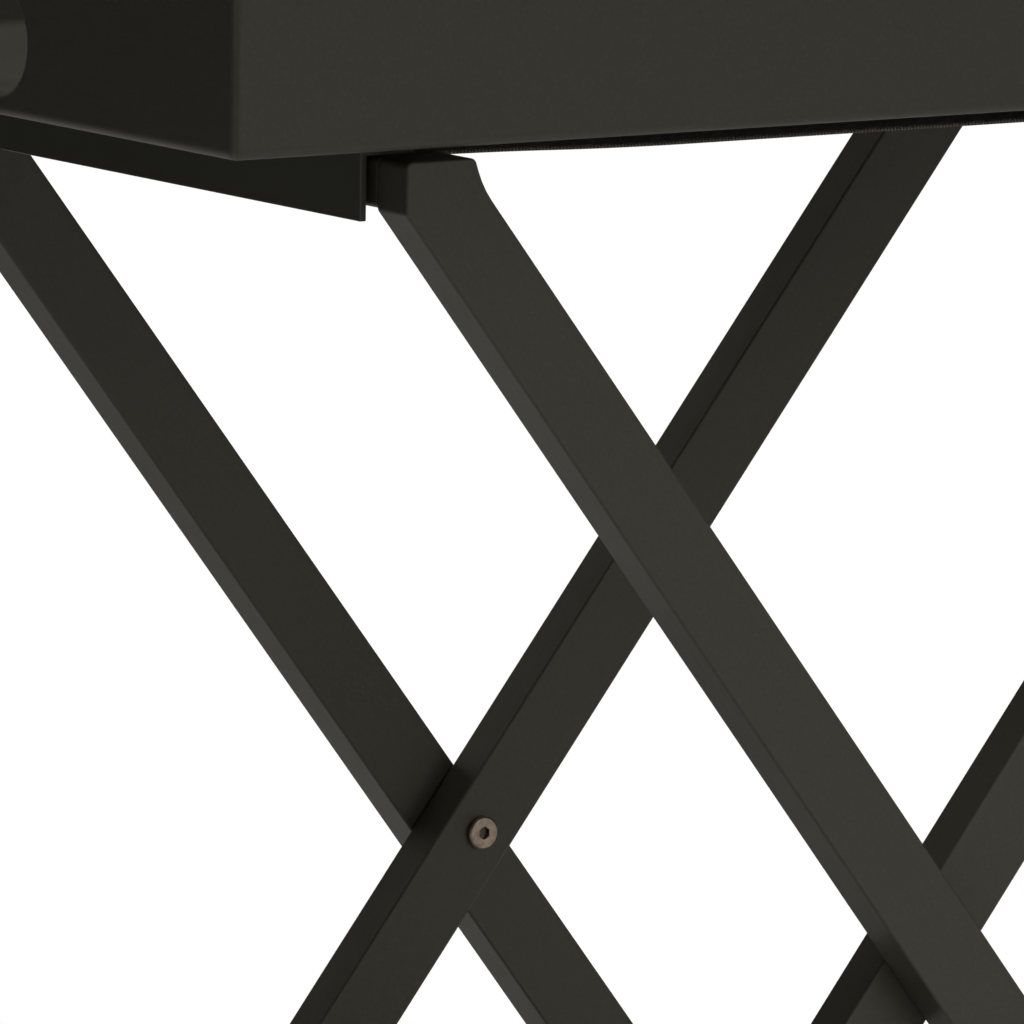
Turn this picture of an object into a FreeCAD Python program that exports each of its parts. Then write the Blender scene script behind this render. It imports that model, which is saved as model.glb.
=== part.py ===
import FreeCAD, Part
import math
import os

# Folding tray table: a loose rectangular tray with hand-holds on a crossed-leg stand.
# Millimetres. +X runs along the long side, +Y to the rear, +Z up.
# The origin is on the floor under the middle of the table.

os.makedirs("parts", exist_ok=True)
V = FreeCAD.Vector

# ---- driving dimensions of the stand ----
LEG_WIDTH = 33.3            # seen from the front, square to the leg
LEG_THICKNESS = 21.0        # along Y
LEG_ANGLE = math.radians(52.0)   # above the floor
HALF_SPAN = 268.5           # pivot to the vertical cut at a leg's top or foot
HALF_RISE = 337.0           # pivot to a leg's level top, and down to its foot
TOP_WIDTH = 31.5            # level width of a leg's top and foot
NECK_DROP = 11.5            # the top's steeper side runs this far down
STAND_DEPTH = 388.0         # outer face to outer face of the outer legs
LEG_GAP = 1.5               # between an outer leg and the inner leg beside it
ARRIS = 1.2                 # rounding along the legs' edges
TOP_CORNER = 3.0
NECK_RADIUS = 40.0

GLIDE_HEIGHT = 3.0
GLIDE_RADIUS = 8.0
GLIDE_NAIL_RADIUS = 1.2
GLIDE_NAIL_LENGTH = 14.0
GLIDE_NAIL_START = 0.5
GLIDE_ROUND = 1.0

RAIL_HEIGHT = 20.0
RAIL_ARRIS = 2.5
LOW_RAIL_REACH = 262.0      # pivot to the low rail, down the leg
LOW_RAIL_WIDTH = 28.0       # along the leg
LOW_RAIL_THICKNESS = 18.0

DOWEL_RADIUS = 4.0
DOWEL_IN_LEG = 12.0
DOWEL_IN_RAIL = 18.0
DOWEL_SPREAD = 7.5          # each side of the rail's middle
DOWEL_DROP = 1.5            # below the top rails' middle, clear of the strap seats

# ---- pivot hardware ----
BOLT_RADIUS = 3.95
BOLT_HOLE_RADIUS = 4.0
BOLT_HEAD_RADIUS = 7.0
BOLT_HEAD_HEIGHT = 2.6
BOLT_HEAD_CHAMFER = 0.6
BOLT_IN_INSERT = 13.0
HEX_ACROSS_FLATS = 5.0
HEX_DEPTH = 1.9
INSERT_RADIUS = 6.0
INSERT_LENGTH = 15.0
WASHER_RADIUS = 8.0
WASHER_HOLE_RADIUS = 4.2
WASHER_THICKNESS = 1.1
SIDE_PLAY = 0.3             # between faces that turn past each other

# ---- straps ----
STRAP_WIDTH = 50.0
STRAP_THICKNESS = 1.8
STRAP_INSET = 45.0          # stand's front to the front strap's near edge
STRAP_SAG = 2.0
STRAP_BEND_RUN = 130.0      # from a rail to where the strap hangs level
STRAP_SEAT = 4.8            # depth of the seat in the top rails
STRAP_END_MARGIN = 4.0
STRAP_LIFT = 0.3
STRAP_SEAT_PLAY = 1.0       # each side of the strap
TACK_HEAD_RADIUS = 4.0
TACK_HEAD_HEIGHT = 0.7
TACK_HEAD_ROUND = 0.55
TACK_HEAD_LIFT = 0.2        # over the strap
TACK_SHANK_RADIUS = 0.8
TACK_SHANK_LENGTH = 11.0
TACK_HOLE_RADIUS = 1.2
TACKS_PER_END = 3

# ---- driving dimensions of the tray ----
TRAY_LENGTH = 710.0
TRAY_DEPTH = 412.0
WALL_HEIGHT = 75.0
WALL_THICKNESS = 12.0
WALL_ARRIS = 4.4
WALL_DROP = 6.0             # from the tray's lower edge to the legs' tops
FLOOR_RECESS = 3.0
FLOOR_THICKNESS = 5.0
FLOOR_TONGUE = 5.0
SLOT_HEIGHT = 40.0
SLOT_LENGTH = 111.0
SLOT_BOTTOM = 9.5
SLOT_ARRIS = 3.0
SPLINE_WIDTH = 9.0
SPLINE_THICKNESS = 2.5
SPLINE_HEIGHT = 55.0
SPLINE_LOW = 13.0
SPLINE_INSET = 6.5          # from the outer faces, across the mitre

BATTEN_WIDTH = 21.0
BATTEN_LENGTH = 341.0
BATTEN_PLAY = 0.3           # between the battens and the legs' tops
KEEPER_GAP = 3.0            # between a keeper plate and the stand
KEEPER_THICKNESS = 3.0
KEEPER_HEIGHT = 34.0
KEEPER_ARRIS = 0.5
SCREW_RADIUS = 1.75
SCREW_HEAD_RADIUS = 3.5
SCREW_HEAD_HEIGHT = 2.0
SCREW_TIP_LENGTH = 3.0
SCREW_TIP_RADIUS = 0.3
RECESS_LENGTH = 4.0         # the cross in a screw's head
RECESS_WIDTH = 1.0
RECESS_DEPTH = 1.0
BATTEN_SCREW_LENGTH = 12.0
KEEPER_SCREW_LENGTH = 14.0
SCREWS_PER_BATTEN = 5
SCREWS_PER_KEEPER = 4
BATTEN_SCREW_MARGIN = 20.0  # from an end to the first screw
KEEPER_SCREW_MARGIN = 55.0

OVERCUT = 1.0               # how far a cutting shape runs past a face
TOLERANCE = 0.01

# ---- levels and places that follow ----
SIN = math.sin(LEG_ANGLE)
COS = math.cos(LEG_ANGLE)
PIVOT_Z = GLIDE_HEIGHT + HALF_RISE
LEG_TOP_Z = PIVOT_Z + HALF_RISE
OUTER_FACE_Y = STAND_DEPTH / 2
OUTER_INSIDE_Y = OUTER_FACE_Y - LEG_THICKNESS
INNER_FACE_Y = OUTER_INSIDE_Y - LEG_GAP
INNER_INSIDE_Y = INNER_FACE_Y - LEG_THICKNESS
HEEL_RISE = (HALF_SPAN * SIN - LEG_WIDTH / 2) / COS
NECK_RISE = HALF_RISE - NECK_DROP
NECK_X = (LEG_WIDTH / 2 - NECK_RISE * COS) / SIN
TRAY_BOTTOM_Z = LEG_TOP_Z + WALL_DROP
TRAY_TOP_Z = TRAY_BOTTOM_Z + WALL_HEIGHT
FLOOR_BOTTOM_Z = TRAY_BOTTOM_Z + FLOOR_RECESS
BATTEN_BOTTOM_Z = LEG_TOP_Z + BATTEN_PLAY
BATTEN_HEIGHT = FLOOR_BOTTOM_Z - BATTEN_BOTTOM_Z
KEEPER_X = HALF_SPAN + KEEPER_GAP
SEAT_Z = LEG_TOP_Z - STRAP_SEAT
STRAP_Z = SEAT_Z + STRAP_LIFT
STRAP_TOP_Z = STRAP_Z + STRAP_THICKNESS
FRONT_STRAP_Y = -OUTER_FACE_Y + STRAP_INSET + STRAP_WIDTH / 2
RAIL_INNER_X = HALF_SPAN - TOP_WIDTH
TACK_X = HALF_SPAN - TOP_WIDTH / 2


# ---- helpers ----
def block(x0, x1, y0, y1, z0, z1):
    return Part.makeBox(x1 - x0, y1 - y0, z1 - z0, V(x0, y0, z0))


def rod(radius, length, start, direction):
    return Part.makeCylinder(radius, length, start, direction)


def mirror_x(shape):
    return shape.mirror(V(0, 0, 0), V(1, 0, 0))


def mirror_y(shape):
    return shape.mirror(V(0, 0, 0), V(0, 1, 0))


def cut_all(shape, tools):
    for tool in tools:
        shape = shape.cut(tool)
    return shape


def edges_where(shape, test):
    return [edge for edge in shape.Edges if test(edge.BoundBox)]


def is_along(box, axis):
    lengths = {"X": box.XLength, "Y": box.YLength, "Z": box.ZLength}
    others = [size for name, size in lengths.items() if name != axis]
    return max(others) < TOLERANCE and lengths[axis] > 1.0


def save(name, solids):
    if not isinstance(solids, list):
        solids = [solids]
    shape = solids[0]
    if len(solids) > 1:
        shape = Part.makeCompound(solids)
    for solid in shape.Solids:
        assert solid.isValid(), name
    shape.exportStep("parts/" + name + ".step")
    print(name, len(shape.Solids), round(shape.Volume / 1000, 2), "cm3")


def polygon_prism(points, y0, y1):
    corners = [V(x, y0, z) for x, z in points]
    face = Part.Face(Part.makePolygon(corners + corners[:1]))
    return face.extrude(V(0, y1 - y0, 0))


# ---- the legs ----
def leg_blank(y0, y1, rail_side):
    """A leg whose top leans to -X. The face on rail_side keeps sharp ends for the rail."""
    top = [(-HALF_SPAN, HALF_RISE), (-HALF_SPAN + TOP_WIDTH, HALF_RISE), (NECK_X, NECK_RISE)]
    points = top + [(HALF_SPAN, -HEEL_RISE)]
    points += [(-x, -z) for x, z in points[:3]] + [(-HALF_SPAN, HEEL_RISE)]
    leg = polygon_prism([(x, z + PIVOT_Z) for x, z in points], y0, y1)

    def at_corner(x, z):
        def test(box):
            near_x = abs(abs(box.Center.x) - abs(x)) < TOLERANCE
            return is_along(box, "Y") and near_x and abs(abs(box.Center.z - PIVOT_Z) - abs(z)) < TOLERANCE
        return test

    leg = leg.makeFillet(NECK_RADIUS, edges_where(leg, at_corner(NECK_X, NECK_RISE)))
    for x, z in (points[0], points[1], points[3]):
        leg = leg.makeFillet(TOP_CORNER, edges_where(leg, at_corner(x, z)))

    open_side = y0 if rail_side > y0 else y1

    def is_arris(box):
        on_open_face = abs(box.YMin - open_side) < TOLERANCE and box.YLength < TOLERANCE
        is_long = box.YLength < TOLERANCE and box.XLength > HALF_SPAN
        return on_open_face or is_long

    return leg.makeFillet(ARRIS, edges_where(leg, is_arris))


def rail_dowels(x, z, along, leg_inside_y):
    """Four dowels that join one rail's ends to a pair of legs."""
    dowels = []
    for side in (-1, 1):
        for step in (-DOWEL_SPREAD, DOWEL_SPREAD):
            start_y = side * (leg_inside_y + DOWEL_IN_LEG)
            start = V(x + step * along[0], start_y, z + step * along[1])
            dowels.append(rod(DOWEL_RADIUS, DOWEL_IN_LEG + DOWEL_IN_RAIL, start, V(0, -side, 0)))
    return dowels


# ---- the rails, drawn for the frame whose top leans to -X ----
def strap_seats():
    seats = []
    for y in (FRONT_STRAP_Y, -FRONT_STRAP_Y):
        half = STRAP_WIDTH / 2 + STRAP_SEAT_PLAY
        seats.append(block(-HALF_SPAN - OVERCUT, -RAIL_INNER_X + OVERCUT, y - half, y + half,
                           SEAT_Z, LEG_TOP_Z + OVERCUT))
    return seats


def top_rail(inside_y):
    low = LEG_TOP_Z - RAIL_HEIGHT
    rail = block(-HALF_SPAN, -RAIL_INNER_X, -inside_y, inside_y, low, LEG_TOP_Z)
    rail = rail.makeFillet(RAIL_ARRIS, edges_where(rail, lambda box: is_along(box, "Y")))
    return cut_all(rail, strap_seats())


def low_rail(inside_y):
    half_length = LOW_RAIL_WIDTH / 2
    half_thick = LOW_RAIL_THICKNESS / 2
    rail = block(-half_length, half_length, -inside_y, inside_y, -half_thick, half_thick)
    rail = rail.makeFillet(RAIL_ARRIS, edges_where(rail, lambda box: is_along(box, "Y")))
    rail.rotate(V(0, 0, 0), V(0, 1, 0), math.degrees(LEG_ANGLE))
    rail.translate(V(LOW_RAIL_REACH * COS, 0, PIVOT_Z - LOW_RAIL_REACH * SIN))
    return rail


def frame_dowels(inside_y):
    top = rail_dowels(-TACK_X, LEG_TOP_Z - RAIL_HEIGHT / 2 - DOWEL_DROP, (1, 0), inside_y)
    low_x = LOW_RAIL_REACH * COS
    low_z = PIVOT_Z - LOW_RAIL_REACH * SIN
    return top + rail_dowels(low_x, low_z, (COS, -SIN), inside_y)


def tack(x, y):
    foot_z = STRAP_TOP_Z + TACK_HEAD_HEIGHT - TACK_SHANK_LENGTH
    shank = rod(TACK_SHANK_RADIUS, TACK_SHANK_LENGTH - TACK_HEAD_HEIGHT / 2, V(x, y, foot_z), V(0, 0, 1))
    head = rod(TACK_HEAD_RADIUS, TACK_HEAD_HEIGHT, V(x, y, STRAP_TOP_Z + TACK_HEAD_LIFT), V(0, 0, 1))
    rim = edges_where(head, lambda box: box.ZMin > STRAP_TOP_Z + TACK_HEAD_LIFT + TOLERANCE)
    return head.makeFillet(TACK_HEAD_ROUND, rim).fuse(shank)


def tack_places():
    pitch = STRAP_WIDTH / TACKS_PER_END
    places = []
    for strap_y in (FRONT_STRAP_Y, -FRONT_STRAP_Y):
        for i in range(TACKS_PER_END):
            places.append((-TACK_X, strap_y + (i - (TACKS_PER_END - 1) / 2) * pitch))
    return places


def tack_shafts(radius):
    low = SEAT_Z - TACK_SHANK_LENGTH
    length = LEG_TOP_Z - low
    return [rod(radius, length, V(x, y, low), V(0, 0, 1)) for x, y in tack_places()]


def foot_glide(x, y):
    disc = rod(GLIDE_RADIUS, GLIDE_HEIGHT, V(x, y, 0), V(0, 0, 1))
    rim = edges_where(disc, lambda box: box.ZMax < TOLERANCE)
    disc = disc.makeFillet(GLIDE_ROUND, rim)
    nail = rod(GLIDE_NAIL_RADIUS, GLIDE_HEIGHT + GLIDE_NAIL_LENGTH, V(x, y, GLIDE_NAIL_START), V(0, 0, 1))
    return disc.fuse(nail)


def build_frame(leg_inside_y, leg_outside_y, rail_tools_for_leg):
    """Both legs, both rails, dowels, glides and tacks of a frame whose top leans to -X."""
    middle_y = (leg_inside_y + leg_outside_y) / 2
    foot_x = HALF_SPAN - TOP_WIDTH / 2
    dowels = frame_dowels(leg_inside_y)
    feet = [foot_glide(foot_x, -middle_y), foot_glide(foot_x, middle_y)]
    tacks = [tack(x, y) for x, y in tack_places()]
    front = leg_blank(-leg_outside_y, -leg_inside_y, -leg_inside_y)
    front = cut_all(front, dowels + feet + rail_tools_for_leg)
    rear = mirror_y(leg_blank(-leg_outside_y, -leg_inside_y, -leg_inside_y))
    rear = cut_all(rear, dowels + feet + rail_tools_for_leg)
    upper = cut_all(top_rail(leg_inside_y), dowels + tack_shafts(TACK_SHANK_RADIUS))
    lower = cut_all(low_rail(leg_inside_y), dowels)
    return {"leg_front": front, "leg_rear": rear, "top_rail": upper, "bottom_rail": lower,
            "rail_dowels": dowels, "foot_glides": feet, "strap_tacks": tacks}


# ---- pivot hardware, drawn for the front pair of legs ----
def hexagon_prism(across_flats, start, depth):
    corner = across_flats / math.sqrt(3)
    points = [V(start.x + corner * math.cos(math.radians(60 * i + 30)), start.y,
                start.z + corner * math.sin(math.radians(60 * i + 30))) for i in range(6)]
    return Part.Face(Part.makePolygon(points + points[:1])).extrude(V(0, depth, 0))


def pivot_bolt():
    seat_y = -INNER_INSIDE_Y + SIDE_PLAY
    tip_y = -OUTER_INSIDE_Y - BOLT_IN_INSERT
    head = rod(BOLT_HEAD_RADIUS, BOLT_HEAD_HEIGHT, V(0, seat_y, PIVOT_Z), V(0, 1, 0))
    rim = edges_where(head, lambda box: abs(box.YMin - head.BoundBox.YMax) < TOLERANCE)
    head = head.makeChamfer(BOLT_HEAD_CHAMFER, rim)
    shank = rod(BOLT_RADIUS, seat_y - tip_y, V(0, tip_y, PIVOT_Z), V(0, 1, 0))
    socket_y = seat_y + BOLT_HEAD_HEIGHT - HEX_DEPTH
    socket = hexagon_prism(HEX_ACROSS_FLATS, V(0, socket_y, PIVOT_Z), HEX_DEPTH + OVERCUT)
    return head.fuse(shank).cut(socket)


def insert_blank():
    return rod(INSERT_RADIUS, INSERT_LENGTH, V(0, -OUTER_INSIDE_Y, PIVOT_Z), V(0, -1, 0))


def pivot_insert():
    bore = rod(BOLT_HOLE_RADIUS, INSERT_LENGTH, V(0, -OUTER_INSIDE_Y, PIVOT_Z), V(0, -1, 0))
    return insert_blank().cut(bore)


def pivot_washer():
    start = V(0, -OUTER_INSIDE_Y, PIVOT_Z)
    disc = rod(WASHER_RADIUS, WASHER_THICKNESS, start, V(0, 1, 0))
    return disc.cut(rod(WASHER_HOLE_RADIUS, WASHER_THICKNESS, start, V(0, 1, 0)))


def pair(shape):
    return [shape, mirror_y(shape)]


# ---- the straps ----
def strap(centre_y):
    end_x = HALF_SPAN - STRAP_END_MARGIN
    level_x = RAIL_INNER_X - STRAP_BEND_RUN
    bend_x = (RAIL_INNER_X + level_x) / 2

    def half_line(z):
        """From the strap's end over the rail, down in two tangent arcs and level to the middle."""
        over_rail = Part.makeLine(V(-end_x, 0, z), V(-RAIL_INNER_X, 0, z))
        top_bend = Part.Arc(V(-RAIL_INNER_X, 0, z), V(-(RAIL_INNER_X + bend_x) / 2, 0, z - STRAP_SAG / 8),
                            V(-bend_x, 0, z - STRAP_SAG / 2))
        low_bend = Part.Arc(V(-bend_x, 0, z - STRAP_SAG / 2),
                            V(-(bend_x + level_x) / 2, 0, z - 7 * STRAP_SAG / 8),
                            V(-level_x, 0, z - STRAP_SAG))
        level = Part.makeLine(V(-level_x, 0, z - STRAP_SAG), V(0, 0, z - STRAP_SAG))
        return [over_rail, top_bend.toShape(), low_bend.toShape(), level]

    edges = [Part.makeLine(V(x, 0, STRAP_Z), V(x, 0, STRAP_TOP_Z)) for x in (-end_x, end_x)]
    for line in half_line(STRAP_Z) + half_line(STRAP_TOP_Z):
        edges += [line, mirror_x(line)]
    band = Part.Face(Part.Wire(Part.__sortEdges__(edges))).extrude(V(0, STRAP_WIDTH, 0))
    band.translate(V(0, centre_y - STRAP_WIDTH / 2, 0))
    holes = tack_shafts(TACK_HOLE_RADIUS)
    return cut_all(band, holes + [mirror_x(hole) for hole in holes])


# ---- the tray ----
def tray_ring():
    half_x, half_y = TRAY_LENGTH / 2, TRAY_DEPTH / 2
    ring = block(-half_x, half_x, -half_y, half_y, TRAY_BOTTOM_Z, TRAY_TOP_Z)
    ring = ring.makeFillet(WALL_ARRIS, ring.Edges)
    hollow = block(-half_x + WALL_THICKNESS, half_x - WALL_THICKNESS, -half_y + WALL_THICKNESS,
                   half_y - WALL_THICKNESS, TRAY_BOTTOM_Z - OVERCUT, TRAY_TOP_Z + OVERCUT)
    ring = ring.cut(hollow)

    def is_inner_rim(box):
        level = abs(box.ZMin - TRAY_TOP_Z) < TOLERANCE and box.ZLength < TOLERANCE
        inside_x = max(abs(box.XMin), abs(box.XMax)) < half_x - WALL_THICKNESS + TOLERANCE
        inside_y = max(abs(box.YMin), abs(box.YMax)) < half_y - WALL_THICKNESS + TOLERANCE
        return level and inside_x and inside_y

    ring = ring.makeFillet(WALL_ARRIS, edges_where(ring, is_inner_rim))
    return ring.cut(floor_panel())


def floor_panel():
    half_x = TRAY_LENGTH / 2 - WALL_THICKNESS + FLOOR_TONGUE
    half_y = TRAY_DEPTH / 2 - WALL_THICKNESS + FLOOR_TONGUE
    return block(-half_x, half_x, -half_y, half_y, FLOOR_BOTTOM_Z, FLOOR_BOTTOM_Z + FLOOR_THICKNESS)


def corner_splines():
    splines = []
    place_x, place_y = TRAY_LENGTH / 2 - SPLINE_INSET, TRAY_DEPTH / 2 - SPLINE_INSET
    for sx in (-1, 1):
        for sy in (-1, 1):
            low = TRAY_BOTTOM_Z + SPLINE_LOW
            spline = block(-SPLINE_WIDTH / 2, SPLINE_WIDTH / 2, -SPLINE_THICKNESS / 2,
                           SPLINE_THICKNESS / 2, low, low + SPLINE_HEIGHT)
            spline.rotate(V(0, 0, 0), V(0, 0, 1), -45 * sx * sy)
            spline.translate(V(sx * place_x, sy * place_y, 0))
            splines.append(spline)
    return splines


def hand_slot():
    radius = SLOT_HEIGHT / 2
    centre_z = TRAY_BOTTOM_Z + SLOT_BOTTOM + radius
    reach = SLOT_LENGTH / 2 - radius
    x0 = -TRAY_LENGTH / 2 - OVERCUT
    depth = WALL_THICKNESS + 2 * OVERCUT
    slot = block(x0, x0 + depth, -reach, reach, centre_z - radius, centre_z + radius)
    for y in (-reach, reach):
        slot = slot.fuse(rod(radius, depth, V(x0, y, centre_z), V(1, 0, 0)))
    return slot.removeSplitter()


def mitred(ring, corners):
    """The part of the ring over a plan outline whose ends are the mitre lines."""
    plan = [V(x, y, TRAY_BOTTOM_Z - OVERCUT) for x, y in corners]
    prism = Part.Face(Part.makePolygon(plan + plan[:1])).extrude(V(0, 0, WALL_HEIGHT + 2 * OVERCUT))
    return ring.common(prism)


def tray_walls():
    ring = cut_all(tray_ring(), corner_splines())
    half_x, half_y = TRAY_LENGTH / 2, TRAY_DEPTH / 2
    far_x, far_y = half_x + OVERCUT, half_y + OVERCUT
    ridge = half_x - half_y
    long_plan = [(-far_x, -far_y), (far_x, -far_y), (ridge, 0), (-ridge, 0)]
    end_plan = [(-far_x, -far_y), (-ridge, 0), (-far_x, far_y)]
    front = mitred(ring, long_plan)
    left = mitred(ring, end_plan).cut(hand_slot())

    def is_slot_edge(box):
        on_face = min(abs(box.XMin + half_x), abs(box.XMin + half_x - WALL_THICKNESS)) < TOLERANCE
        inside = max(abs(box.YMin), abs(box.YMax)) < SLOT_LENGTH / 2 + TOLERANCE
        return box.XLength < TOLERANCE and on_face and inside

    left = left.makeFillet(SLOT_ARRIS, edges_where(left, is_slot_edge))
    return front, left


# ---- what holds the tray on the stand ----
def wood_screw(length, recessed=True):
    """A countersunk screw with its head's face at the origin, pointing up +Z."""
    head = Part.makeCone(SCREW_HEAD_RADIUS, SCREW_RADIUS, SCREW_HEAD_HEIGHT, V(0, 0, 0), V(0, 0, 1))
    straight = length - SCREW_TIP_LENGTH
    shank = rod(SCREW_RADIUS, straight, V(0, 0, 0), V(0, 0, 1))
    tip = Part.makeCone(SCREW_RADIUS, SCREW_TIP_RADIUS, SCREW_TIP_LENGTH, V(0, 0, straight), V(0, 0, 1))
    screw = head.fuse(shank).fuse(tip)
    if not recessed:
        return screw
    narrow, wide = RECESS_WIDTH / 2, RECESS_LENGTH / 2
    slot_x = block(-wide, wide, -narrow, narrow, -OVERCUT, RECESS_DEPTH)
    slot_y = block(-narrow, narrow, -wide, wide, -OVERCUT, RECESS_DEPTH)
    return screw.cut(slot_x).cut(slot_y)


def along_batten(count, margin):
    usable = BATTEN_LENGTH - 2 * margin
    return [-usable / 2 + usable * i / (count - 1) for i in range(count)]


def batten_screws(recessed=True):
    screws = []
    for y in along_batten(SCREWS_PER_BATTEN, BATTEN_SCREW_MARGIN):
        screw = wood_screw(BATTEN_SCREW_LENGTH, recessed)
        screw.translate(V(-KEEPER_X + BATTEN_WIDTH / 2, y, BATTEN_BOTTOM_Z))
        screws.append(screw)
    return screws


def keeper_screws(recessed=True):
    screws = []
    for y in along_batten(SCREWS_PER_KEEPER, KEEPER_SCREW_MARGIN):
        screw = wood_screw(KEEPER_SCREW_LENGTH, recessed)
        screw.rotate(V(0, 0, 0), V(0, 1, 0), 90)
        screw.translate(V(-KEEPER_X - KEEPER_THICKNESS, y, BATTEN_BOTTOM_Z + BATTEN_HEIGHT / 2))
        screws.append(screw)
    return screws


def batten():
    half = BATTEN_LENGTH / 2
    return block(-KEEPER_X, -KEEPER_X + BATTEN_WIDTH, -half, half, BATTEN_BOTTOM_Z, FLOOR_BOTTOM_Z)


def keeper_plate():
    half = BATTEN_LENGTH / 2
    top_z = FLOOR_BOTTOM_Z
    plate = block(-KEEPER_X - KEEPER_THICKNESS, -KEEPER_X, -half, half, top_z - KEEPER_HEIGHT, top_z)
    return plate.makeFillet(KEEPER_ARRIS, plate.Edges)


# ---- the outer frame: leans to -X at the top ----
bolt_holes = pair(insert_blank())
outer = build_frame(OUTER_INSIDE_Y, OUTER_FACE_Y, bolt_holes)
for part_name in ("leg_front", "leg_rear", "top_rail", "bottom_rail", "rail_dowels", "foot_glides"):
    save("outer_" + part_name, outer[part_name])
save("strap_tacks_outer", outer["strap_tacks"])

# ---- the inner frame: the same, turned to lean to +X ----
through = [rod(BOLT_HOLE_RADIUS, STAND_DEPTH, V(0, -STAND_DEPTH / 2, PIVOT_Z), V(0, 1, 0))]
inner = build_frame(INNER_INSIDE_Y, INNER_FACE_Y, through)
for part_name in ("leg_front", "leg_rear", "top_rail", "bottom_rail"):
    save("inner_" + part_name, mirror_x(inner[part_name]))
for part_name in ("rail_dowels", "foot_glides"):
    save("inner_" + part_name, [mirror_x(solid) for solid in inner[part_name]])
save("strap_tacks_inner", [mirror_x(solid) for solid in inner["strap_tacks"]])

# ---- pivot hardware and straps ----
save("pivot_bolts", pair(pivot_bolt()))
save("pivot_inserts", pair(pivot_insert()))
save("pivot_washers", pair(pivot_washer()))
save("strap_front", strap(FRONT_STRAP_Y))
save("strap_rear", strap(-FRONT_STRAP_Y))

# ---- the tray ----
front_wall, left_wall = tray_walls()
save("tray_front_wall", front_wall)
save("tray_rear_wall", mirror_y(front_wall))
save("tray_left_wall", left_wall)
save("tray_right_wall", mirror_x(left_wall))
save("corner_splines", corner_splines())

batten_holes = batten_screws(recessed=False)
keeper_holes = keeper_screws(recessed=False)
left_batten = cut_all(batten(), batten_holes + keeper_holes)
left_keeper = cut_all(keeper_plate(), keeper_holes)
save("tray_floor", cut_all(floor_panel(), batten_holes + [mirror_x(hole) for hole in batten_holes]))
save("bearing_batten_left", left_batten)
save("bearing_batten_right", mirror_x(left_batten))
save("keeper_plate_left", left_keeper)
save("keeper_plate_right", mirror_x(left_keeper))
save("batten_screws", batten_screws() + [mirror_x(screw) for screw in batten_screws()])
save("keeper_screws", keeper_screws() + [mirror_x(screw) for screw in keeper_screws()])
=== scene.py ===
import math

import bpy
from mathutils import Matrix, Vector


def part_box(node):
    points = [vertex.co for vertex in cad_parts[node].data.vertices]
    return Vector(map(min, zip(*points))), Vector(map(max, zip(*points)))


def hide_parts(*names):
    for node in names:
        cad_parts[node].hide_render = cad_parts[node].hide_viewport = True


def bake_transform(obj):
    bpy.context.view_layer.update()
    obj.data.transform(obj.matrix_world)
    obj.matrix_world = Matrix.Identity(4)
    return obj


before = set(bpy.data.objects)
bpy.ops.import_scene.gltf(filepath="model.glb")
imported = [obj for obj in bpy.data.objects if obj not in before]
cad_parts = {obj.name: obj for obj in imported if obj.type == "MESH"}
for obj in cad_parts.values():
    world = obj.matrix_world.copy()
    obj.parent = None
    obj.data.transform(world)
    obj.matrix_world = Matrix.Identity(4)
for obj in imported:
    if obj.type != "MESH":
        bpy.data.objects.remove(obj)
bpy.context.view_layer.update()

# Folding tray table: the looks. Metres, in the frame's own axes: +X along the table, +Y to the rear, +Z up.

# ---- colours, as linear light ----
PAINT = (0.0253, 0.0244, 0.0173)
PAINT_WORN_AND_HIGHLIGHT = (0.062, 0.058, 0.046)      # paint rubbed thin on an arris, lightened there as a painted highlight too, and its lightest specks
BOLT_CLEAN = (0.28, 0.22, 0.168)
BOLT_STAINED = (0.16, 0.125, 0.098)
BRASS_CLEAN = (0.36, 0.25, 0.12)
BRASS_STAINED = (0.20, 0.13, 0.06)
# Webbing: the valley colour is painted shade between the weave's ribs, and the rib colour is painted light
# on their tops.
WEB_VALLEY_PAINTED_SHADE = (0.034, 0.023, 0.016)
WEB_RIB_PAINTED_LIGHT = (0.076, 0.053, 0.038)
WEB_FUZZ = (0.10, 0.075, 0.057)
FLOOR_PALE = (0.84, 0.84, 0.83)
WARM_LIGHT = (1.0, 0.93, 0.80)

# ---- the part ----
LEG_ANGLE = math.radians(52.0)
SOCKET_RADIUS = 0.0029      # a pivot bolt's hexagon socket, over its corners
WEB_THICKNESS = 0.0018
WEB_SELVEDGE = 0.0003       # how far the band's edges are rounded
WEB_BEND_RUN = 0.130        # the length over which a strap eases down from a rail to its sagging middle
RIB_PITCH = 0.0016
THREAD_PITCH = 0.0009
HERRINGBONE_ROW = 0.0045

# ---- floor and camera ----
FLOOR_CENTRE = (-0.8, -1.1)
FLOOR_GAP = 0.0005          # keeps the floor clear of the glides
CAMERA_AZIMUTH = math.radians(-33.95)
CAMERA_ELEVATION = math.radians(8.57)
CAMERA_ROLL = math.radians(0.82)
CAMERA_DISTANCE = 4.512
CAMERA_TARGET = Vector((-0.0876, 0.0, 0.5036))
CAMERA_LENS = 390.4
SENSOR = 36.0


# ---- node helpers ----
def scaled(colour, factor):
    return tuple(factor * c for c in colour)


def new_material(name):
    material = bpy.data.materials.new(name)
    material.use_nodes = True
    material.node_tree.nodes.clear()
    tree = material.node_tree
    output = tree.nodes.new("ShaderNodeOutputMaterial")
    shader = tree.nodes.new("ShaderNodeBsdfPrincipled")
    tree.links.new(shader.outputs["BSDF"], output.inputs["Surface"])
    return material, tree, shader


def node(tree, kind, inputs=None, **settings):
    made = tree.nodes.new(kind)
    for name, value in settings.items():
        setattr(made, name, value)
    for name, value in (inputs or {}).items():
        if isinstance(value, bpy.types.NodeSocket):
            tree.links.new(value, made.inputs[name])
        else:
            made.inputs[name].default_value = value
    return made


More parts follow.
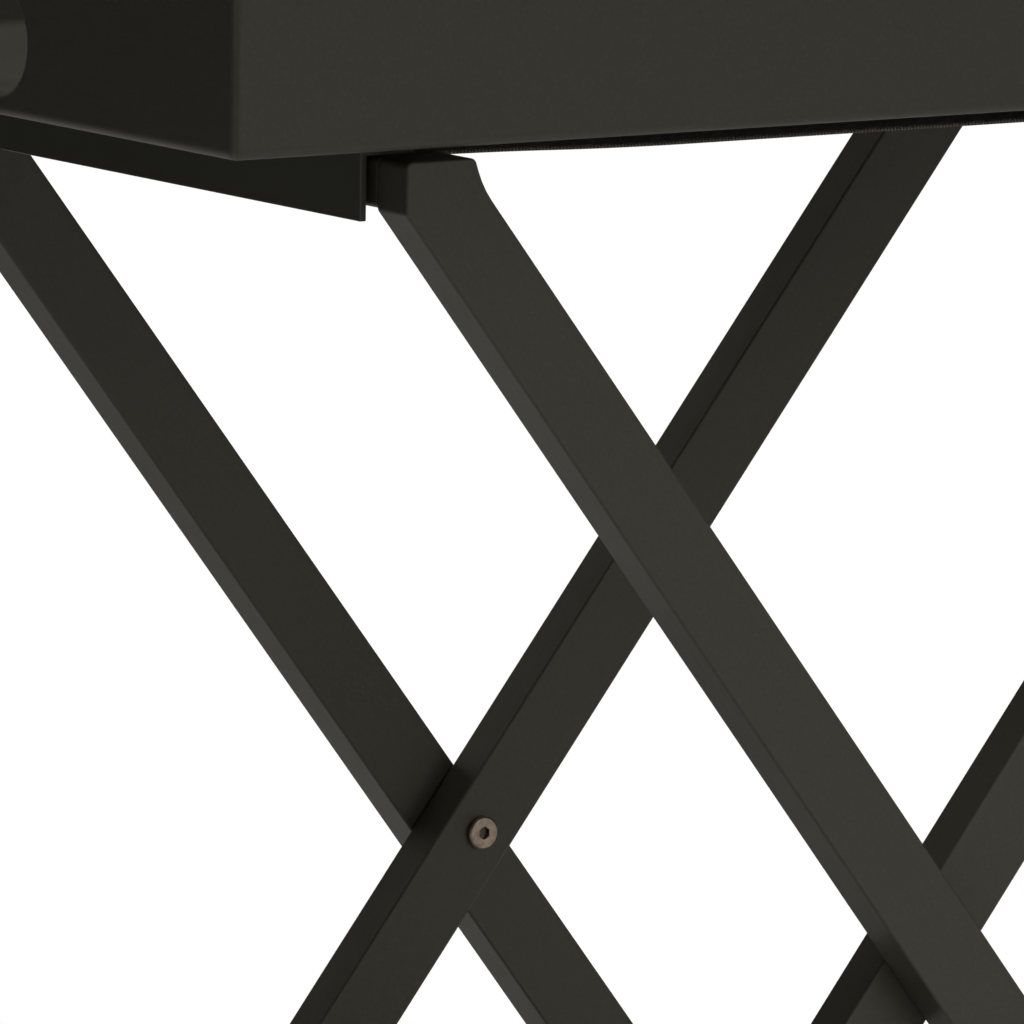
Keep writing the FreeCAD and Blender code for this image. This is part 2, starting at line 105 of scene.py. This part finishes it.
def place(tree, turn=(0, 0, 0), stretch=(1, 1, 1)):
    """The object's own coordinates, turned and then stretched."""
    coords = node(tree, "ShaderNodeTexCoord")
    turned = node(tree, "ShaderNodeVectorRotate", {"Vector": coords.outputs["Object"], "Rotation": turn},
                  rotation_type="EULER_XYZ")
    return node(tree, "ShaderNodeMapping", {"Vector": turned.outputs[0], "Scale": stretch}).outputs[0]


def noise(tree, vector, scale, detail=3.0, roughness=0.5):
    made = node(tree, "ShaderNodeTexNoise", {"Vector": vector, "Scale": scale, "Detail": detail,
                                             "Roughness": roughness})
    return made.outputs["Fac"]


def span(tree, value, low, high, to_low=0.0, to_high=1.0):
    """value from low..high to to_low..to_high, held at the ends."""
    made = node(tree, "ShaderNodeMapRange", {"Value": value, "From Min": low, "From Max": high,
                                             "To Min": to_low, "To Max": to_high})
    return made.outputs["Result"]


def mix(tree, factor, first, second):
    made = node(tree, "ShaderNodeMix", data_type="RGBA")
    for socket, value in zip((made.inputs[0], made.inputs[6], made.inputs[7]), (factor, first, second)):
        if isinstance(value, bpy.types.NodeSocket):
            tree.links.new(value, socket)
        elif isinstance(value, tuple):
            socket.default_value = (*value, 1.0)
        else:
            socket.default_value = value
    return made.outputs[2]


def math_node(tree, operation, first, second=0.0):
    made = node(tree, "ShaderNodeMath", {0: first, 1: second}, operation=operation)
    return made.outputs[0]


def bump(tree, height, distance, strength=1.0, normal=None):
    made = node(tree, "ShaderNodeBump", {"Height": height, "Distance": distance, "Strength": strength})
    if normal is not None:
        tree.links.new(normal, made.inputs["Normal"])
    return made.outputs["Normal"]


def edge_mask(tree, radius):
    """1 on an arris, 0 on a flat: how far a rounded normal turns from the true one."""
    rounded = node(tree, "ShaderNodeBevel", {"Radius": radius}, samples=4)
    geometry = node(tree, "ShaderNodeNewGeometry")
    dot = node(tree, "ShaderNodeVectorMath", {0: rounded.outputs[0], 1: geometry.outputs["True Normal"]},
               operation="DOT_PRODUCT")
    return span(tree, dot.outputs["Value"], 0.995, 0.86)


# ---- materials ----
def painted_wood(name, turn):
    """Satin paint on close-grained wood. After turn, the grain runs along X."""
    material, tree, shader = new_material(name)
    straight = place(tree, turn)
    along = place(tree, turn, (1.0, 14.0, 14.0))
    fine = place(tree, turn, (3.0, 60.0, 60.0))

    cloud = noise(tree, straight, 7.0, 4.0)
    blotch = noise(tree, straight, 85.0, 3.0, 0.6)
    speckle = noise(tree, straight, 620.0, 2.0)
    grain = noise(tree, along, 9.0, 6.0, 0.62)
    pores = noise(tree, fine, 16.0, 4.0, 0.6)
    orange_peel = noise(tree, straight, 260.0, 2.0)

    tone = mix(tree, span(tree, cloud, 0.35, 0.68), scaled(PAINT, 0.95), scaled(PAINT, 1.05))
    warmer = (PAINT[0] * 1.10, PAINT[1] * 0.99, PAINT[2] * 0.97)
    tone = mix(tree, span(tree, blotch, 0.42, 0.60, 0.0, 0.6), tone, warmer)
    tone = mix(tree, span(tree, grain, 0.45, 0.75, 0.0, 0.15), tone, warmer)
    tone = mix(tree, span(tree, speckle, 0.50, 0.75, 0.0, 0.16), tone, PAINT_WORN_AND_HIGHLIGHT)
    # Arrises lightened along the grain: partly rubbed paint, partly a painted highlight on the arris.
    rubbed_and_highlight = math_node(tree, "MULTIPLY", edge_mask(tree, 0.0016), span(tree, grain, 0.38, 0.62, 0.35, 0.95))
    tree.links.new(mix(tree, rubbed_and_highlight, tone, PAINT_WORN_AND_HIGHLIGHT), shader.inputs["Base Color"])

    gloss = span(tree, cloud, 0.3, 0.7, 0.50, 0.58)
    gloss = math_node(tree, "ADD", gloss, span(tree, pores, 0.4, 0.7, -0.02, 0.03))
    tree.links.new(gloss, shader.inputs["Roughness"])
    shader.inputs["Specular IOR Level"].default_value = 0.27
    shader.inputs["Specular Tint"].default_value = (1.0, 0.96, 0.87, 1.0)

    relief = bump(tree, grain, 0.00010, 0.35)
    relief = bump(tree, pores, 0.00005, 0.35, relief)
    relief = bump(tree, orange_peel, 0.00006, 0.5, relief)
    tree.links.new(relief, shader.inputs["Normal"])
    return material


def painted_steel():
    material, tree, shader = new_material("painted_steel")
    straight = place(tree)
    peel = noise(tree, straight, 700.0, 2.0)
    cloud = noise(tree, straight, 9.0, 3.0)
    tone = mix(tree, cloud, scaled(PAINT, 0.88), scaled(PAINT, 1.05))
    # Edges lightened with the worn paint colour: partly wear, partly a painted highlight on the edge.
    tree.links.new(mix(tree, edge_mask(tree, 0.0008), tone, PAINT_WORN_AND_HIGHLIGHT), shader.inputs["Base Color"])
    tree.links.new(span(tree, cloud, 0.3, 0.7, 0.46, 0.54), shader.inputs["Roughness"])
    shader.inputs["Specular IOR Level"].default_value = 0.4
    tree.links.new(bump(tree, peel, 0.00005, 0.5), shader.inputs["Normal"])
    return material


def turned_metal(name, colour, dark, roughness, ring_scale, centre_z):
    """Metal turned on a lathe about an axis along Y."""
    material, tree, shader = new_material(name)
    coords = node(tree, "ShaderNodeTexCoord")
    moved = node(tree, "ShaderNodeMapping", {"Vector": coords.outputs["Object"],
                                             "Location": (0, 0, -centre_z), "Scale": (1, 0, 1)}).outputs[0]
    radius = node(tree, "ShaderNodeVectorMath", {0: moved}, operation="LENGTH").outputs["Value"]
    rings = math_node(tree, "SINE", math_node(tree, "MULTIPLY", radius, ring_scale))
    stain = noise(tree, coords.outputs["Object"], 420.0, 4.0)
    tone = mix(tree, span(tree, stain, 0.35, 0.7), dark, colour)
    # Painted shade: the colour is darkened inside the hexagon socket.
    socket_painted_shade = span(tree, radius, SOCKET_RADIUS, SOCKET_RADIUS - 0.0006)
    tone = mix(tree, socket_painted_shade, tone, scaled(dark, 0.40))
    tree.links.new(tone, shader.inputs["Base Color"])
    shader.inputs["Metallic"].default_value = 1.0
    worn = span(tree, stain, 0.3, 0.7, roughness - 0.08, roughness + 0.10)
    tree.links.new(worn, shader.inputs["Roughness"])
    tree.links.new(bump(tree, rings, 0.00002, 0.6), shader.inputs["Normal"])
    return material


def plain_metal(name, colour, dark, roughness):
    material, tree, shader = new_material(name)
    straight = place(tree)
    stain = noise(tree, straight, 300.0, 4.0)
    tree.links.new(mix(tree, span(tree, stain, 0.35, 0.7), dark, colour), shader.inputs["Base Color"])
    shader.inputs["Metallic"].default_value = 1.0
    worn = span(tree, stain, 0.3, 0.7, roughness - 0.08, roughness + 0.10)
    tree.links.new(worn, shader.inputs["Roughness"])
    tree.links.new(bump(tree, noise(tree, straight, 900.0, 2.0), 0.00003, 0.5), shader.inputs["Normal"])
    return material


def moulded_plastic(name, colour):
    material, tree, shader = new_material(name)
    straight = place(tree)
    mottle = noise(tree, straight, 500.0, 3.0)
    tree.links.new(mix(tree, mottle, scaled(colour, 0.8), scaled(colour, 1.2)), shader.inputs["Base Color"])
    tree.links.new(span(tree, mottle, 0.3, 0.7, 0.5, 0.62), shader.inputs["Roughness"])
    tree.links.new(bump(tree, mottle, 0.00004, 0.5), shader.inputs["Normal"])
    return material


def bare_beech():
    material, tree, shader = new_material("bare_beech")
    fleck = noise(tree, place(tree, (0, 0, 0), (200.0, 12.0, 200.0)), 3.0, 4.0)
    tree.links.new(mix(tree, fleck, (0.42, 0.27, 0.15), (0.62, 0.44, 0.27)), shader.inputs["Base Color"])
    shader.inputs["Roughness"].default_value = 0.6
    tree.links.new(bump(tree, fleck, 0.0001, 0.4), shader.inputs["Normal"])
    return material


def webbing():
    """Herringbone cotton webbing. Ribs run along X and turn over every few threads across Y."""
    material, tree, shader = new_material("webbing")
    coords = node(tree, "ShaderNodeTexCoord").outputs["Object"]
    parts = node(tree, "ShaderNodeSeparateXYZ", {0: coords})
    x, y = parts.outputs["X"], parts.outputs["Y"]
    zigzag = math_node(tree, "PINGPONG", y, HERRINGBONE_ROW)
    slant = math_node(tree, "ADD", x, zigzag)
    ribs = math_node(tree, "SINE", math_node(tree, "MULTIPLY", slant, 2 * math.pi / RIB_PITCH))
    threads = math_node(tree, "SINE", math_node(tree, "MULTIPLY", y, 2 * math.pi / THREAD_PITCH))
    weave = math_node(tree, "ADD", ribs, math_node(tree, "MULTIPLY", threads, 0.5))
    fuzz = noise(tree, coords, 900.0, 3.0)
    # Painted shade in the weave's valleys and painted light on its ribs, following the weave's height.
    tone = mix(tree, span(tree, weave, -1.3, 1.3), WEB_VALLEY_PAINTED_SHADE, WEB_RIB_PAINTED_LIGHT)
    tone = mix(tree, span(tree, fuzz, 0.5, 0.8, 0.0, 0.35), tone, WEB_FUZZ)
    tree.links.new(tone, shader.inputs["Base Color"])
    shader.inputs["Roughness"].default_value = 0.92
    shader.inputs["Sheen Weight"].default_value = 0.25
    shader.inputs["Sheen Roughness"].default_value = 0.5
    relief = bump(tree, weave, 0.00022, 0.8)
    tree.links.new(bump(tree, fuzz, 0.0001, 0.5, relief), shader.inputs["Normal"])
    return material


# The turns that bring the grain onto X. The outer legs lean to -X at the top, the inner ones to +X.
GRAIN_X = (0.0, 0.0, 0.0)
GRAIN_Y = (0.0, 0.0, -math.pi / 2)
GRAIN_OUTER = (0.0, -LEG_ANGLE, 0.0)
GRAIN_INNER = (0.0, LEG_ANGLE, 0.0)

wood_x = painted_wood("painted_wood_along_x", GRAIN_X)
wood_y = painted_wood("painted_wood_along_y", GRAIN_Y)
wood_outer = painted_wood("painted_wood_outer_legs", GRAIN_OUTER)
wood_inner = painted_wood("painted_wood_inner_legs", GRAIN_INNER)
washers_low, washers_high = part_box("pivot_washers")
pivot_z = (washers_low.z + washers_high.z) / 2
steel = painted_steel()
bolt_metal = turned_metal("bolt_metal", BOLT_CLEAN, BOLT_STAINED, 0.42, 9000.0, pivot_z)
brass = plain_metal("brass", BRASS_CLEAN, BRASS_STAINED, 0.38)
black_screw = plain_metal("black_screw", (0.06, 0.06, 0.06), (0.03, 0.03, 0.03), 0.45)
nylon = moulded_plastic("nylon", (0.02, 0.02, 0.02))
glide_plastic = moulded_plastic("glide_plastic", (0.035, 0.028, 0.022))
beech = bare_beech()
web = webbing()

FINISHES = {
    wood_x: ["tray_front_wall", "tray_rear_wall", "tray_floor"],
    wood_y: ["tray_left_wall", "tray_right_wall", "outer_top_rail", "outer_bottom_rail", "inner_top_rail",
             "inner_bottom_rail", "bearing_batten_left", "bearing_batten_right"],
    wood_outer: ["outer_leg_front", "outer_leg_rear"],
    wood_inner: ["inner_leg_front", "inner_leg_rear"],
    steel: ["keeper_plate_left", "keeper_plate_right"],
    bolt_metal: ["pivot_bolts"],
    brass: ["pivot_inserts", "strap_tacks_outer", "strap_tacks_inner"],
    black_screw: ["batten_screws", "keeper_screws"],
    nylon: ["pivot_washers"],
    glide_plastic: ["outer_foot_glides", "inner_foot_glides"],
    beech: ["corner_splines", "outer_rail_dowels", "inner_rail_dowels"],
}
for finish, names in FINISHES.items():
    for name in names:
        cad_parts[name].data.materials.clear()
        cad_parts[name].data.materials.append(finish)


# ---- straps ----
def strap_band(name, cad_node, segments=120, ribs=14):
    """Webbing with a rounded selvedge, sagging between the rails like its CAD solid."""
    low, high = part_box(cad_node)
    edge = abs(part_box("outer_top_rail")[1].x)
    centre_y = (low.y + high.y) / 2
    half_width = (high.y - low.y) / 2 - WEB_SELVEDGE
    top = high.z
    sag = (top - low.z) - WEB_THICKNESS

    def level(x):
        share = min(1.0, max(0.0, (edge - abs(x)) / WEB_BEND_RUN))
        drop = 2 * share * share if share < 0.5 else 1 - 2 * (1 - share) ** 2
        return top - sag * drop

    ring = []
    for i in range(ribs + 1):
        across = -1.0 + 2.0 * i / ribs
        ring.append((across * half_width, 0.0))
    for i in range(ribs + 1):
        across = 1.0 - 2.0 * i / ribs
        ring.append((across * half_width, -WEB_THICKNESS))
    verts, faces = [], []
    for i in range(segments + 1):
        x = low.x + (high.x - low.x) * i / segments
        for y, z in ring:
            selvedge = WEB_SELVEDGE if abs(abs(y) - half_width) < 1e-6 else 0.0
            inset = selvedge if z == 0.0 else -selvedge
            verts.append((x, centre_y + y, level(x) + z - inset))
    count = len(ring)
    for i in range(segments):
        for j in range(count):
            a, b = i * count + j, i * count + (j + 1) % count
            faces.append((a, b, b + count, a + count))
    faces.append(tuple(range(count - 1, -1, -1)))
    faces.append(tuple(segments * count + j for j in range(count)))
    mesh = bpy.data.meshes.new(name)
    mesh.from_pydata(verts, [], faces)
    mesh.update()
    for polygon in mesh.polygons:
        polygon.use_smooth = True
    band = bpy.data.objects.new(name, mesh)
    bpy.context.scene.collection.objects.link(band)
    mesh.materials.append(web)
    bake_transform(band)
    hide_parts(cad_node)
    return band


strap_band("webbing_front", "strap_front")
strap_band("webbing_rear", "strap_rear")


# ---- floor, lights and camera ----
def pale_floor(radius=2.6, sides=96):
    centre_x, centre_y = FLOOR_CENTRE
    verts = [(centre_x + radius * math.cos(2 * math.pi * i / sides),
              centre_y + radius * math.sin(2 * math.pi * i / sides), 0) for i in range(sides)]
    mesh = bpy.data.meshes.new("floor")
    mesh.from_pydata(verts, [], [tuple(range(sides))])
    floor = bpy.data.objects.new("floor", mesh)
    bpy.context.scene.collection.objects.link(floor)
    material, tree, shader = new_material("pale_floor")
    shade = noise(tree, place(tree), 3.0, 2.0)
    tree.links.new(mix(tree, shade, scaled(FLOOR_PALE, 0.98), FLOOR_PALE), shader.inputs["Base Color"])
    shader.inputs["Roughness"].default_value = 0.9
    mesh.materials.append(material)
    floor.location.z = -FLOOR_GAP


def soft_light(name, position, target, size, power, spread=180.0, colour=(1.0, 1.0, 1.0)):
    data = bpy.data.lights.new(name, "AREA")
    data.shape = "RECTANGLE"
    data.size, data.size_y = size
    data.energy = power
    data.spread = math.radians(spread)
    data.color = colour
    light = bpy.data.objects.new(name, data)
    light.location = position
    light.rotation_mode = "QUATERNION"
    light.rotation_quaternion = (Vector(target) - Vector(position)).to_track_quat("-Z", "Y")
    bpy.context.scene.collection.objects.link(light)


def surroundings():
    """A white backdrop for the camera that hardly lights the table."""
    world = bpy.data.worlds.new("surroundings")
    bpy.context.scene.world = world
    world.use_nodes = True
    tree = world.node_tree
    tree.nodes.clear()
    output = tree.nodes.new("ShaderNodeOutputWorld")
    dim = node(tree, "ShaderNodeBackground", {"Color": (1.0, 1.0, 1.0, 1.0), "Strength": 0.025})
    white = node(tree, "ShaderNodeBackground", {"Color": (1.0, 1.0, 1.0, 1.0), "Strength": 1.0})
    path = node(tree, "ShaderNodeLightPath")
    both = node(tree, "ShaderNodeMixShader", {0: path.outputs["Is Camera Ray"], 1: dim.outputs[0],
                                              2: white.outputs[0]})
    tree.links.new(both.outputs[0], output.inputs["Surface"])


pale_floor()
surroundings()
soft_light("key", (1.6, -3.2, 2.4), (0.0, 0.0, 0.5), (2.4, 1.6), 39.0)
soft_light("fill", (-2.6, -6.4, 1.6), (0.0, 0.0, 0.4), (4.0, 3.0), 42.0)
soft_light("low_fill", (0.9, -2.6, 0.55), (0.1, 0.1, 0.05), (2.4, 0.5), 2.0, spread=45.0)
soft_light("top", (0.0, 0.0, 3.2), (0.0, 0.0, 0.5), (2.6, 2.2), 35.0)
soft_light("ceiling", (0.0, -0.6, 3.6), (0.0, -0.5, 0.0), (4.0, 3.6), 30.0, spread=90.0)
soft_light("back", (-0.9, 3.2, 2.2), (0.0, 0.0, 0.5), (2.4, 1.6), 9.5, colour=WARM_LIGHT)
soft_light("backdrop", (1.8, 3.0, 0.9), (0.0, 0.0, 0.5), (3.0, 1.6), 22.0, colour=WARM_LIGHT)

camera_data = bpy.data.cameras.new("camera")
camera_data.lens = CAMERA_LENS
camera_data.sensor_width = SENSOR
camera_data.clip_end = 100.0
camera = bpy.data.objects.new("camera", camera_data)
bpy.context.scene.collection.objects.link(camera)
back = Vector((math.sin(CAMERA_AZIMUTH) * math.cos(CAMERA_ELEVATION),
               -math.cos(CAMERA_AZIMUTH) * math.cos(CAMERA_ELEVATION), math.sin(CAMERA_ELEVATION)))
aim = (-back).to_track_quat("-Z", "Y").to_matrix().to_4x4()
camera.matrix_world = (Matrix.Translation(CAMERA_TARGET + back * CAMERA_DISTANCE) @ aim
                       @ Matrix.Rotation(CAMERA_ROLL, 4, "Z"))
bpy.context.scene.camera = camera
bpy.context.scene.view_settings.view_transform = "Standard"
